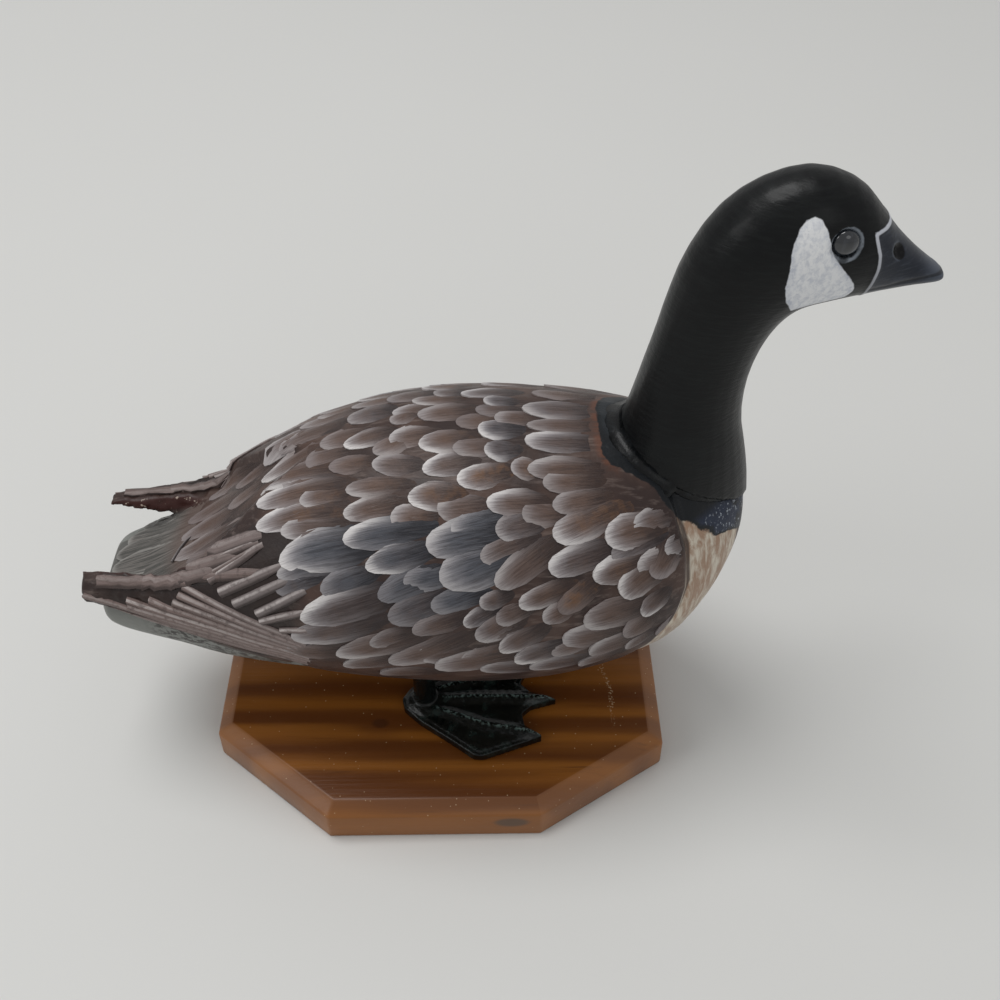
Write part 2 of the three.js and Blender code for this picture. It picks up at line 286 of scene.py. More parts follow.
front_away = ((((x - 0.0315) / 0.0085) ** 2) + (((z - 0.0095) / 0.0036) ** 2)) ** 0.5
front_knot = front_away.rise(1.1, 0.6) * (y + 0.0).rise(-0.083, -0.0845)
sides = varnish.node("Attribute", {}, {"attribute_name": "chamfer"}, output=2)
wood = (sides * 0.6).paint(wood, WOOD_EDGE)
wood = (front_knot * 0.85).paint(wood, (0.10, 0.066, 0.045, 1))
scratch_line = (x - 0.0735 - wander * 0.03).sum("ABSOLUTE", x - 0.0735 - wander * 0.03)
scratch_wear = varnish.noise(varnish.place, 900, 2).rise(0.52, 0.62)
scratches = scratch_line.rise(0.0011, 0.0004) * y.rise(-0.047, -0.030) * scratch_wear
wood = (scratches * 0.55).paint(wood, WOOD_SCRATCH)
dots = varnish.node("TexVoronoi", {"Vector": varnish.place, "Scale": 260.0}, output=0)
wood = (dots.rise(0.09, 0.04) * 0.6).paint(wood, WOOD_SCRATCH)
normals = np.zeros(len(plaque.data.polygons) * 3)
plaque.data.polygons.foreach_get("normal", normals)
normals = normals.reshape(-1, 3)
slanted = plaque.data.attributes.new("chamfer", "FLOAT", "FACE")
leaning = (normals[:, 2] < 0.97) & (normals[:, 2] > -0.5)
sideways = leaning * (0.35 + 0.65 * np.abs(normals[:, 0]))
slanted.data.foreach_set("value", sideways.astype(np.float32))
placed(plaque, "plaque", varnish.finish(
    wood, (grain * 0.18 + 0.27), grain * 0.6 + fine_grain * 0.4, 0.00035), "plaque")


# The webbed feet. Each is sawn from thin wood, carved to three ridged toes with hollow webs between,
# painted greenish black over a thick gloss, and glued down. The glue that shows round it is not drawn.
FOOT_AXES = {"right": -31 * MM, "left": 31 * MM}
FOOT_COLOUR = (0.0016, 0.0026, 0.0023, 1)
FOOT_RUBBED = (0.018, 0.028, 0.027, 1)
FOOT_RIDGE_HIGHLIGHT = (0.16, 0.23, 0.22, 1)
TOE_LINES = [
    # each toe's ridge from the ankle to its tip, measured from the foot's own axis, in mm
    ((-9, -2.5), (20, -14.5), (45, -20)),
    ((-10, 0), (20, 0.5), (51, -0.5)),
    ((-9, 2.5), (18, 11.5), (45, 18.5)),
]
TOE_RIDGE_HALF_WIDTH = 3.4
WEB_HOLLOW = 1.5 * MM
FOOT_TOP = 25.8 * MM


def distance_to_line(px, py, line):
    """How far the points lie from a broken line, and how far along it, as a share."""
    best = np.full(px.shape, 1e9)
    share = np.zeros(px.shape)
    for i, ((ax, ay), (bx, by)) in enumerate(zip(line[:-1], line[1:])):
        run = (bx - ax) ** 2 + (by - ay) ** 2
        t = np.clip(((px - ax) * (bx - ax) + (py - ay) * (by - ay)) / run, 0, 1)
        away = np.hypot(px - ax - t * (bx - ax), py - ay - t * (by - ay))
        nearer = away < best
        best = np.where(nearer, away, best)
        share = np.where(nearer, (i + t) / (len(line) - 1), share)
    return best, share


def points_of(piece):
    co = np.zeros(len(piece.data.vertices) * 3)
    piece.data.vertices.foreach_get("co", co)
    return co.reshape(-1, 3)


def move_points(piece, co):
    piece.data.vertices.foreach_set("co", co.ravel())
    piece.data.update()


def store(piece, name, values):
    """Keeps one number per point of the mesh, for its paint to read."""
    piece.data.attributes.new(name, "FLOAT", "POINT")
    piece.data.attributes[name].data.foreach_set("value", np.asarray(values, np.float32).ravel())


webbed = Finish("greenish_black_gloss", 0.22, coat=0.2, coat_roughness=0.06, gloss=0.2)
ridge_line = webbed.field("ridge")
chips = webbed.noise(webbed.place, 620, 3, 0.6)
foot_paint = webbed.noise(webbed.place, 160, 3).rise(0.5, 0.75).paint(
    FOOT_COLOUR, (0.012, 0.022, 0.020, 1))
# Painted highlight: the toe ridges are painted a lighter green-grey, broken up by the chip noise, for light on their
# crests.
foot_paint = (ridge_line * chips.rise(0.46, 0.60) * 0.75).paint(foot_paint, FOOT_RIDGE_HIGHLIGHT)
foot_paint = (webbed.noise(webbed.place, 300, 4).rise(0.60, 0.72) * 0.35).paint(foot_paint, FOOT_RUBBED)
webbed_paint = webbed.finish(foot_paint, chips * 0.2 + 0.12, chips, 0.0004)

for side, axis in FOOT_AXES.items():
    foot = merged_copy(f"{side}_leg_and_foot", f"{side}_webbed_foot")
    bpy.ops.object.mode_set(mode="OBJECT")
    apply(foot, "REMESH", mode="VOXEL", voxel_size=0.75 * MM)
    apply(foot, "SMOOTH", factor=0.5, iterations=2)
    co = points_of(foot)
    px, py = co[:, 0] / MM, (co[:, 1] - axis) / MM
    lines = [distance_to_line(px, py, line) for line in TOE_LINES]
    away = np.min([line[0] for line in lines], axis=0)
    on_top = np.clip((co[:, 2] - FOOT_TOP + 2.5 * MM) / (2 * MM), 0, 1) * (co[:, 2] < FOOT_TOP + 1 * MM)
    off_leg = np.clip((np.hypot(px + 6.5, py) - 6) / 4, 0, 1)
    hollow = np.clip((away - 0.6) / TOE_RIDGE_HALF_WIDTH, 0, 1)
    co[:, 2] -= WEB_HOLLOW * hollow * on_top * off_leg
    co[:, 2] -= 0.5 * MM * np.sin(px * 1.7 + py * 0.9) * np.sin(py * 1.3) * hollow * on_top * off_leg * 0.4
    move_points(foot, co)
    store(foot, "ridge", np.clip(1.2 - away, 0, 1) * on_top * off_leg)
    bpy.ops.object.shade_smooth()
    placed(foot, "foot_paint", webbed_paint, f"{side}_leg_and_foot")


# The body. One block carved to body, folded wings and tail. The wings stand a little proud of the
# breast along a cut line. It is painted all over, darker red-brown wherever feathers will lie.
SKIN = 1.15 * MM
WING_EDGE = [
    # x, z of the folded wing's outline: the underside of its tip, its lower edge, up its front
    (-145, 90.5), (-108, 84), (-72, 75), (-46, 69), (-14, 65.5), (20, 64.5), (52, 65.8),
    (76, 69), (89, 81), (98, 96), (101.5, 111), (100, 127), (94, 144), (84, 158),
]
GROOVE_DEPTH = 0.9 * MM
SPINE_HEIGHTS = [
    # x, height of the line that feathers are measured round
    (-150, 77), (-133, 75), (-120, 76), (-106, 78.5), (-91, 81), (-72, 87), (-48, 94.6),
    (-18, 98.5), (16, 99.7), (50, 100), (80, 101.3), (100, 101.7), (114.5, 105), (130, 116),
]
NECK_PAINT_EDGE = [
    # x, y of the black paint's edge on the body round the neck, seen from above
    (66.4, -3), (66.6, -10), (67.6, -16), (70.4, -20.3), (75.6, -22.9), (81, -24.2), (86.6, -26.9),
    (89.2, -29.9), (94.8, -32.0), (106, -29.2), (117, -25), (126, -20), (150, -20), (150, 20),
    (126, 20), (117, 25), (106, 29.2), (94.8, 31.6), (88.4, 29.6), (81, 25.0), (75.6, 22.9),
    (70.4, 20.4), (67.6, 15.6), (66.4, 9), (66.6, 3),
]
REAR_RECESS = 0.8 * MM

body = merged_copy("body", "carved_body")
bpy.ops.object.mode_set(mode="OBJECT")
apply(body, "REMESH", mode="VOXEL", voxel_size=SKIN)
apply(body, "SMOOTH", factor=0.5, iterations=6)
bpy.ops.object.shade_smooth()


def inside_patch(across, up, outline):
    """Millimetres inside a closed outline, less than nothing outside it."""
    away, _ = distance_to_line(across, up, outline + outline[:1])
    inside = np.zeros(across.shape, bool)
    for (ax, az), (bx, bz) in zip(outline, outline[1:] + outline[:1]):
        crosses = (az > up) != (bz > up)
        meets = ax + (up - az) * (bx - ax) / ((bz - az) or 1e-9)
        inside ^= crosses & (across < meets)
    return np.where(inside, away, -away)


def inside_wing(px, pz):
    """Millimetres inside the folded wing's outline, less than nothing outside it."""
    away, _ = distance_to_line(px, pz, WING_EDGE)
    edge = np.array(WING_EDGE)
    lower = np.interp(px, edge[:9, 0], edge[:9, 1])
    front = np.interp(pz, edge[8:, 1], edge[8:, 0])
    inside = (pz > lower) & (px < np.where(pz > 81, front, 89))
    return np.where(inside, away, -away)


def chip_noise(place):
    return turbulence(place, 3, False) - 0.5


co = points_of(body)
normals = np.zeros(len(body.data.vertices) * 3)
body.data.vertices.foreach_get("normal", normals)
normals = normals.reshape(-1, 3)
px, py, pz = (co / MM).T
wing_room = inside_wing(px, pz)
flank = (np.abs(py) > 22) & (px > -60)
groove = np.exp(-((wing_room + 1.2) / 1.3) ** 2) * flank
rear = np.clip((-50 - px) / 6, 0, 1) * np.clip((np.abs(py) - 24) / 5, 0, 1)
rear *= np.clip(wing_room / 2, 0, 1) * np.clip((px + 138) / 6, 0, 1)
co -= normals * (GROOVE_DEPTH * groove + REAR_RECESS * rear)[:, None]
tip_area = np.clip((-96 - px) / 6, 0, 1) * (np.abs(py) > 19) * (pz > 82)
chips = np.array([chip_noise(Vector(p) * 260) for p in co[tip_area > 0]])
co[tip_area > 0] -= normals[tip_area > 0] * (0.7 * MM * chips * tip_area[tip_area > 0])[:, None]
move_points(body, co)
neck_black = inside_patch(px, py, NECK_PAINT_EDGE)
neck_black = np.minimum(neck_black, pz - 105 - 0.7 * np.abs(py))
store(body, "neck_black", np.clip(neck_black, -15, 15))
store(body, "wing_room", np.where(np.abs(py) > 15, wing_room, 10))
store(body, "rear", rear)
inward = np.clip(-normals[:, 1] * np.sign(py) * 1.6, 0, 1) * (px < -90) * (np.abs(py) > 13) * (pz > 84)
store(body, "inner_tip", inward)
ground = BVHTree.FromObject(body, bpy.context.evaluated_depsgraph_get())

GAP_BROWN = (0.034, 0.021, 0.019, 1)
WARM_BROWN = (0.085, 0.050, 0.039, 1)
CHISEL_SHADE = (0.016, 0.010, 0.009, 1)
INNER_RED = (0.045, 0.014, 0.011, 1)
FLANK_GREY = (0.20, 0.205, 0.19, 1)
RUST = (0.135, 0.050, 0.027, 1)
CREAM = (0.66, 0.60, 0.50, 1)
TAN = (0.36, 0.235, 0.16, 1)
BELLY = (0.50, 0.47, 0.42, 1)
NECK_BLACK = (0.0050, 0.0065, 0.0085, 1)
WORN_NAVY = (0.020, 0.030, 0.062, 1)

carved = Finish("painted_body", 0.45, coat=0.06, coat_roughness=0.3, gloss=0.25)
x, y, z = carved.axis()
wobble = carved.noise(carved.place, 130, 4, 0.6) - 0.5
along = carved.noise(carved.stretched((55, 420, 420)), 1.0, 4, 0.6)
under = carved.noise(carved.place, 45, 3).rise(0.35, 0.7).paint(GAP_BROWN, WARM_BROWN)
under = (along.rise(0.50, 0.72) * 0.4).paint(under, (0.22, 0.17, 0.15, 1))
breast_strokes = carved.noise(carved.stretched((260, 260, 60), (0, 0.5, 0)), 1.0, 4, 0.65, 0.4)
breast = breast_strokes.rise(0.42, 0.66).paint(TAN, CREAM)
breast = (z.rise(0.095, 0.055) * 0.75).paint(breast, BELLY)
chiselled = carved.noise(carved.stretched((210, 420, 420)), 1.0, 4, 0.7)
# Painted shade: dark streaks along the chisel marks on the rear flanks.
flank_paint = (chiselled.rise(0.55, 0.42) * x.rise(-0.125, -0.112) * 0.85).paint(FLANK_GREY, CHISEL_SHADE)
breast = (x.rise(-0.02, -0.06) * z.rise(0.055, 0.066)).paint(breast, flank_paint)
# Painted shade: the recess beside the rump is painted dark.
under = (carved.field("rear") * 0.8).paint(under, CHISEL_SHADE)
specks = carved.noise(carved.place, 420, 3, 0.6)
inner_paint = specks.rise(0.62, 0.68).paint(INNER_RED, (0.42, 0.34, 0.28, 1))
under = (carved.field("inner_tip")).paint(under, inner_paint)
tail_mask = x.rise(-0.100, -0.108) * (y * y).rise(0.00064, 0.00050) * z.rise(0.096, 0.091)
under = tail_mask.paint(under, (0.10, 0.098, 0.09, 1))
room = carved.field("wing_room")
coat_colour = (room + wobble * 1.4).rise(-0.9, -0.2).paint(breast, under)
lip = (room - 0.35 + wobble * 0.8).sum("ABSOLUTE", room - 0.35 + wobble * 0.8)
lip_line = lip.rise(0.9, 0.35) * z.rise(0.125, 0.1) * x.rise(-0.062, -0.045)
coat_colour = (lip_line * 0.8).paint(coat_colour, (0.62, 0.55, 0.45, 1))
# Painted shade: a dark line is painted down the groove along the wing's edge.
wing_groove_shade = (room + 1.3).sum("ABSOLUTE", room + 1.3).rise(1.0, 0.3)
coat_colour = (wing_groove_shade * 0.85).paint(coat_colour, (0.05, 0.035, 0.03, 1))
black = carved.field("neck_black") + wobble * 4.0
rusty = black.rise(-3.6, -0.6) * x.rise(0.0745, 0.070) * along.rise(0.3, 0.6) * 0.75
coat_colour = rusty.paint(coat_colour, RUST)
coat_colour = black.rise(-0.35, 0.25).paint(coat_colour, NECK_BLACK)
worn = x.rise(0.0985, 0.1025) * z.rise(0.136, 0.131)
coat_colour = (worn * black.rise(0.3, 1.4) * (wobble + 0.5).rise(0.3, 0.5) * 0.8).paint(
    coat_colour, WORN_NAVY)
flecks = carved.noise(carved.place, 700, 3, 0.6).rise(0.585, 0.65) * (x.rise(0.104, 0.108) * z.rise(0.134, 0.130))
coat_colour = (flecks * black.rise(0.5, 1.5) * 0.65).paint(coat_colour, (0.50, 0.55, 0.62, 1))
sheen = carved.noise(carved.place, 60, 3).rise(0.4, 0.62) * x.rise(0.080, 0.072) * black.rise(0.0, 2.0)
coat_colour = (sheen * 0.55).paint(coat_colour, (0.024, 0.030, 0.036, 1))
body_paint = carved.finish(coat_colour, along * 0.25 + 0.3, along * 0.6 + breast_strokes * 0.4, 0.0005)
placed(body, "feathers", body_paint, "body")


# The back and wing feathers. Each is a low paddle, carved in relief on the block with its tip to the
# tail, and painted from a dark root to a pale soft rim with fine strokes along it.
FEATHER_SEED = 4127
HIDDEN_SHARE = 1.28
FEATHER_CAMBER = 0.5
WIDENED = 1.08
FEATHER_LIFT = 0.8
ROOT_SUNK = 0.35
TIP_ROUNDING = 0.36
BLANK_ALONG, BLANK_ACROSS = 8, 6
# Feathers that show clearly, by rows: where the tip is (x in mm, then the angle in degrees down from
# the ridge), visible length, width, lean in degrees, pale rim, slate-blue share and rust share.
BACK_FEATHERS = [
    (-18.5, -24, 20, 13, 3, .4, .3, 0), (0.7, -23, 13, 10, -1, .5, .4, 0), (12, -20.5, 24, 11, 4, .8, .4, 0),
    (41, -22, 27, 11, -6, .3, .1, 0), (-34, -14, 20, 14, 0, .5, .4, 0), (-16, -4.4, 14, 9, 24, .5, .2, 0),
    (-5, -6, 23.6, 12, 5, .5, .1, .1), (18, -7, 18, 9.5, -1, .3, .3, 0), (36.5, -7, 32, 13, 1, .7, .4, 0),
    (-34, 3.8, 21, 9.6, 6, 1, .2, 0), (-21.7, 11.6, 20.5, 10, 24, .5, .1, .1), (-4, 10.3, 23, 11, 6, .9, .1, .2),
    (19, 4.3, 17, 10.5, -1, .95, .6, 0), (38, 2.2, 30, 8.4, 0, .5, .2, 0), (-39.4, 14, 20, 8.3, -3, .3, .1, .2),
    (-22, 17, 20, 9.3, -6, .6, .3, 0), (-2.4, 20.5, 21, 10, 6, 1, .3, .1), (21.4, 15, 14, 9.5, 4, .8, .6, .2),
    (37, 10.3, 30, 11, -1, .8, .4, 0), (31.4, 21.7, 12, 9, -4, .6, .1, .7), (37.7, 21.7, 29, 10.5, -1, .6, .1, .1),
    (11, 26.6, 21.5, 10.3, 12, 1, .1, .8), (-32, 25.8, 26, 8, -2, .6, .1, .2), (-32.6, 35.6, 24, 9.6, 6, .8, .1, .1),
    (-7.6, 31.2, 21, 10.8, -3, 1, .1, .5), (22, 34.7, 23, 10.4, -1, .95, .2, .1), (43.4, 27.5, 23, 9.5, 3, .5, .1, .1),
    (47, 36.5, 23, 10.4, 12, .5, .1, .1), (-58, 37.5, 27, 9, -5, .7, .3, .1), (-50.5, 26, 20, 9, -2, .6, .1, .3),
    (-62.6, -11.4, 30, 10, 5, .5, .2, 0), (-55, -21, 30, 10, 6, .5, .2, 0), (-48.5, -35, 28, 10, 0, .5, .2, 0),
    (-70.4, -17, 34, 10, -8, .6, .2, 0), (-70, -2, 38, 10.5, -8, .8, .1, .1), (-69, 11, 36, 8.5, -4, .8, .1, .2),
    (-69, 21.6, 38, 10, -2, .9, .1, .2), (-68.6, 31.4, 38, 10.5, -2, 1, .1, .4),
]
WING_FEATHERS = [
    (-32.6, 44.8, 31.5, 11, 5, .95, 1, 0), (-0.8, 48.5, 30, 15, 9, .7, 1, 0), (-23.8, 55.8, 26, 10, 14, .95, .8, 0),
    (4, 60, 32, 16.5, 17, .6, 1, 0), (-58.2, 49.2, 35, 14.5, 4, .95, .9, 0), (-59.4, 55, 27, 9, 6, .6, .7, 0),
    (-19.5, 66.5, 24.5, 11, 23, .3, .8, 0), (-50.5, 74.6, 36, 13, 14, 1, .5, .1), (-15.3, 76, 24, 12.6, 24, .4, .6, 0),
    (-6.8, 80, 21, 9.2, 20, .4, .3, 0), (12.9, 77, 14, 7.5, 27, .8, .5, 0), (17.5, 83, 19.4, 10.5, 28, .6, .3, 0),
    (-55.5, 85.3, 36, 11, 14, .6, .4, 0), (-38, 94, 36, 11.4, 20, .7, .2, 0), (-23.6, 86.7, 18, 8, 22, .5, .3, 0),
    (-16.7, 97.7, 36, 11.2, 28, .5, .2, 0), (26.5, 89.2, 20, 10.5, 30, .8, .3, 0), (-36, 102.3, 25, 10, 20, .6, .3, 0),
    (1, 99, 35, 14, 15, .6, .2, 0), (-60, 96.5, 24, 9, 9, .5, .2, 0), (18.8, 101, 24, 11, -5, .6, .4, 0),
    (-21.7, 107, 23, 9, 8, .4, .2, 0),
]
SHOULDER_FEATHERS = [
    (47, 47, 29.3, 13, 21, .8, .1, .5), (66.7, 47.9, 22, 14, 10, .9, .1, .2), (45, 57.5, 25, 12, 13, .9, .4, 0),
    (62, 61.9, 22, 11.6, 10, 1, .1, .3), (72.6, 70, 19, 14.5, 28, .9, .2, .2), (87.5, 67, 15, 11.5, 62, .4, .1, 0),
    (25.5, 63.3, 27, 12, 36, .6, .3, .2), (33.9, 70, 21, 9, 17, .8, .1, .2), (49.2, 73.7, 18, 10, 34, .1, 0, .8),
    (43, 76.4, 15, 9, 22, .6, .1, .1), (58.9, 80.6, 26, 15, 4, .6, .2, 0), (82.5, 84, 13, 9.7, 40, .9, .3, 0),
    (50.7, 86.8, 24, 13, -8, .6, .2, 0), (76, 94, 14, 12, 30, .4, .1, 0), (61.8, 96.6, 22, 14, -4, .6, .3, 0),
    (25.4, 76.2, 15, 9, 23, .5, .3, .1), (19, 83, 17, 9, 22, .5, .3, 0), (32.2, 95, 20, 11.3, 16, .9, .4, 0),
    (38.3, 101, 26, 12, -6, .6, .4, 0), (19.2, 69.7, 12, 7.5, 18, .6, .4, 0), (77, 104, 13, 9, 20, .5, .3, 0),
    (58, 106, 18, 10, -8, .5, .3, 0),
]
# The rest of the pattern: one feather to each place of a staggered grid that no other has taken.
FILL_SPACING_ALONG, FILL_SPACING_ACROSS = 17.5, 8.2
CROWD_ALONG, CROWD_ACROSS = 12.0, 6.4

dice = random.Random(FEATHER_SEED)
spine = np.array(SPINE_HEIGHTS)


def spine_height(x_mm):
    return float(np.interp(x_mm, spine[:, 0], spine[:, 1]))


def on_body(x_mm, angle, reach=160):
    """The painted surface at a place along the body and an angle down from the ridge."""
    out = Vector((0, -math.sin(math.radians(angle)), math.cos(math.radians(angle))))
    middle = Vector((x_mm, 0, spine_height(x_mm))) * MM
    spot, normal, _, _ = ground.ray_cast(middle + out * reach * MM, -out)
    return spot, normal, out


def girth(x_mm, angle):
    """How far the surface stands from the spine line there, in mm."""
    spot, _, _ = on_body(x_mm, angle)
    if spot is None:
        return None
    return math.hypot(spot.y, spot.z - spine_height(x_mm) * MM) / MM


bpy.ops.object.select_all(action="DESELECT")
bpy.ops.mesh.primitive_grid_add(
    x_subdivisions=BLANK_ALONG, y_subdivisions=BLANK_ACROSS, size=2, location=(0, 0, 0))
blank = bpy.context.active_object
blank.name = "feather_blank"
bpy.ops.object.mode_set(mode="EDIT")
bpy.ops.mesh.select_all(action="DESELECT")
bpy.ops.mesh.select_non_manifold()
bpy.ops.mesh.extrude_region_move(TRANSFORM_OT_translate={"value": (0, 0, -1)})
bpy.ops.mesh.edge_face_add()
bpy.ops.mesh.select_all(action="SELECT")
bpy.ops.mesh.normals_make_consistent(inside=False)
bpy.ops.object.mode_set(mode="OBJECT")
blank_points = points_of(blank)
blank_faces = [tuple(face.vertices) for face in blank.data.polygons]
bpy.data.objects.remove(blank)


def paddle(u, v):
    """A blank point's place on a round-tipped paddle: share along from root to tip, share across."""
    share = u * (0.55 + 0.45 * (1 - v * v) ** 0.5) if u > 0.5 else u
    start = 1 - TIP_ROUNDING
    reach = start + TIP_ROUNDING * math.sqrt(max(0.0, 1 - 0.94 * v * v))
    along = u * reach
    if along > start:
        limit = math.sqrt(max(0.0, 1 - ((along - start) / TIP_ROUNDING) ** 2))
        limit = max(limit, 0.0)
    else:
        limit = 1
    root = 0.62 + 0.38 * min(1, u / 0.5) ** 0.8
    return along, max(-limit, min(limit, v)) * root


def blade(u, v):
    """A blank point's place on a long square-tipped blade."""
    return u, v * (0.55 + 0.45 * min(1, u / 0.3))


class FeatherGroup:
    """Feathers laid on the body and gathered in one mesh, with what each one's paint reads."""

    def __init__(self, name, outline=paddle):
        self.name, self.outline = name, outline
        self.points, self.faces, self.across, self.facts = [], [], [], []

    def lay(self, spot_of, length, half_width, rim, slate, rust, lift=FEATHER_LIFT,
            camber=FEATHER_CAMBER, sunk=ROOT_SUNK, depth=0.9):
        """spot_of(along, across) gives the surface point, its normal and the room there."""
        first = len(self.points)
        luck = dice.random()
        turned_up = lift * (0.85 + 0.3 * dice.random())
        bend = dice.uniform(-0.35, 0.35) if self.outline is paddle else 0
        for bx, by, bz in blank_points:
            u, v = (bx + 1) / 2, by
            along, across = self.outline(u, v)
            waver = 1 + (0.07 * math.sin(along * 8 + luck * 40 + v) if bend else 0)
            sway = bend * half_width * (along - 0.35) ** 2
            spot, normal, room = spot_of((1 - along) * length, across * half_width * waver + sway)
            ramp = along ** 0.8 if self.outline is paddle else min(1, along * 6) ** 0.5
            height = -sunk + (turned_up + sunk) * ramp + camber * (0.4 - across * across)
            height -= max(0.0, 1.6 - room) * 0.8
            if bz < -0.5:
                height = min(height, 0) - depth
            self.points.append(spot + normal * height * MM)
            self.across.append((along, across))
            self.facts.append((rim, slate, rust, luck))
        self.faces += [tuple(first + i for i in face) for face in blank_faces]

    def gather(self, material, slot="feathers"):
        mesh = bpy.data.meshes.new(self.name)
        mesh.from_pydata([tuple(p) for p in self.points], [], self.faces)
        piece = bpy.data.objects.new(self.name, mesh)
        bpy.context.scene.collection.objects.link(piece)
        lay = mesh.uv_layers.new(name="along_and_across")
        corners = np.zeros(len(mesh.loops), np.int32)
        mesh.loops.foreach_get("vertex_index", corners)
        lay.data.foreach_set("uv", np.array(self.across, np.float32)[corners].ravel())
        for i, name in enumerate(("rim", "slate", "rust", "luck")):
            store(piece, name, [fact[i] for fact in self.facts])
        bpy.ops.object.select_all(action="DESELECT")
        piece.select_set(True)
        bpy.context.view_layer.objects.active = piece
        bpy.ops.object.mode_set(mode="EDIT")
        bpy.ops.mesh.select_all(action="SELECT")
        bpy.ops.mesh.normals_make_consistent(inside=False)
        bpy.ops.object.mode_set(mode="OBJECT")
        bpy.ops.object.shade_smooth_by_angle(angle=math.radians(50))
        placed(piece, slot, material)
        return piece


def body_spot(tip_x, tip_angle, lean):
    """Where on the body a point of a feather goes, by its way back from the tip and across."""
    turn = math.radians(lean)
    round_there = girth(tip_x, tip_angle)

    def spot_of(back, across):
        px = tip_x + back * math.cos(turn) + across * math.sin(turn)
        arc = -back * math.sin(turn) + across * math.cos(turn)
        angle = tip_angle + math.degrees(arc / round_there)
        spot, normal, out = on_body(px, angle)
        if spot is None:
            spot, normal = Vector((px, 0, spine_height(px))) * MM + out * round_there * MM, out
        room = 9.0
        if abs(spot.y) > 15 * MM:
            room = float(inside_wing(np.array([spot.x / MM]), np.array([spot.z / MM]))[0])
        if spot.x > 55 * MM and spot.z > 110 * MM:
            here = np.array([spot.x / MM]), np.array([spot.y / MM])
            room = min(room, -float(inside_patch(*here, NECK_PAINT_EDGE)[0]) - 0.5)
        return spot, normal, room
    return spot_of


taken = []
fillers = set()


def crowded(tip_x, tip_angle):
    for other_x, other_angle in taken:
        gap = (tip_x - other_x) / CROWD_ALONG
        arc = math.radians(tip_angle - other_angle) * 58 / CROWD_ACROSS
        if gap * gap + arc * arc < 1:
            return True
    return False


plan = []
for rows in (BACK_FEATHERS, WING_FEATHERS, SHOULDER_FEATHERS):
    for feather in rows:
        plan.append(feather)
        taken.append(feather[:2])
for rows in (BACK_FEATHERS, WING_FEATHERS, SHOULDER_FEATHERS):
    for tip_x, angle, length, width, lean, rim, slate, rust in rows:
        other = (tip_x + dice.uniform(-3, 3), -angle + dice.uniform(-2, 2))
        if angle < 14 or crowded(*other):
            continue
        plan.append((*other, length * dice.uniform(0.9, 1.1), width, -lean, rim * 0.9, slate, rust))
        taken.append(other)
row_number = 0
for angle in np.arange(-106, 107, 8.0):
    row_number += 1
    for tip_x in np.arange(-60 + (row_number % 2) * 8.7, 92, FILL_SPACING_ALONG):
        spot = (tip_x + dice.uniform(-2.5, 2.5), angle + dice.uniform(-1.5, 1.5))
        rolls = [dice.random() for _ in range(5)]
        if crowded(*spot):
            continue
        surface, _, _ = on_body(*spot)
        if surface is None or abs(surface.y) > 15 * MM and inside_wing(
                np.array([surface.x / MM]), np.array([surface.z / MM]))[0] < 4:
            continue
        if spot[0] > 50 and abs(spot[1]) < 42:
            continue
        low = abs(angle) > 42
        blue_band = low and abs(angle) < 72 and tip_x < 15
        slate = 0.65 + 0.35 * rolls[0] if blue_band else 0.2 + 0.3 * rolls[0] if low else 0.25 * rolls[0]
        lean = math.copysign(8 + 12 * rolls[1] if low else 4 * rolls[1], angle)
        rust = 0.5 * max(0, rolls[2] - 0.6) if not low else 0
        plan.append((*spot, 19 + 5 * rolls[3], 10 + 2.5 * rolls[4], lean, .3 + .4 * rolls[2], slate, rust))
        taken.append(spot)
        fillers.add(len(plan) - 1)

FEATHER_DARK = (0.038, 0.023, 0.020, 1)
FEATHER_BROWN = (0.125, 0.080, 0.064, 1)
FEATHER_SLATE = (0.082, 0.086, 0.102, 1)
SLATE_DARK = (0.018, 0.018, 0.023, 1)
RIM_LILAC = (0.43, 0.405, 0.42, 1)
RIM_WHITE = (0.80, 0.77, 0.755, 1)
OCHRE = (0.20, 0.095, 0.040, 1)

quill = Finish("painted_feathers", 0.45, coat=0.06, coat_roughness=0.3, gloss=0.25)
lay = quill.node("UVMap", {}, {"uv_map": "along_and_across"})
u, v, _ = quill.axis(lay)
rim_share, slate, rust, luck = [quill.field(name) for name in ("rim", "slate", "rust", "luck")]
strokes = quill.noise(
    quill.node("CombineXYZ", {0: u * 3.2 + luck * 40, 1: v * 7.5 + luck * 17, 2: luck * 9}), 1.0, 4, 0.62)
hairs = quill.noise(
    quill.node("CombineXYZ", {0: u * 5 + luck * 31, 1: v * 22 + luck * 11, 2: luck * 5}), 1.0, 3, 0.6)
mottle = quill.noise(quill.place, 210, 4, 0.6)
bent = ((u - (1 - TIP_ROUNDING)).most(0.0) / TIP_ROUNDING) ** 2 + v * v
reach = bent ** 0.5
second_luck = (luck * 7.31).sum("FRACT", luck * 7.31)
lopsided = v * (luck - 0.5) * 0.75
to_rim = reach + (strokes - 0.5) * 0.55 + (mottle - 0.5) * 0.22 + lopsided
root_dark = u.rise(0.75, 0.22)
brown = (root_dark * 0.9 + strokes.rise(0.55, 0.35) * 0.35).least(1.0).paint(FEATHER_BROWN, FEATHER_DARK)
blue = (root_dark * 0.8 + strokes.rise(0.58, 0.35) * 0.5).least(1.0).paint(FEATHER_SLATE, SLATE_DARK)
vane = (slate + (mottle - 0.5) * 0.5).rise(0.1, 0.9).paint(brown, blue)
rusty = rust * mottle.rise(0.42, 0.66) * to_rim.rise(0.95, 0.5) * 0.65
vane = rusty.paint(vane, OCHRE)
near_tip = u.rise(0.42, 0.98)
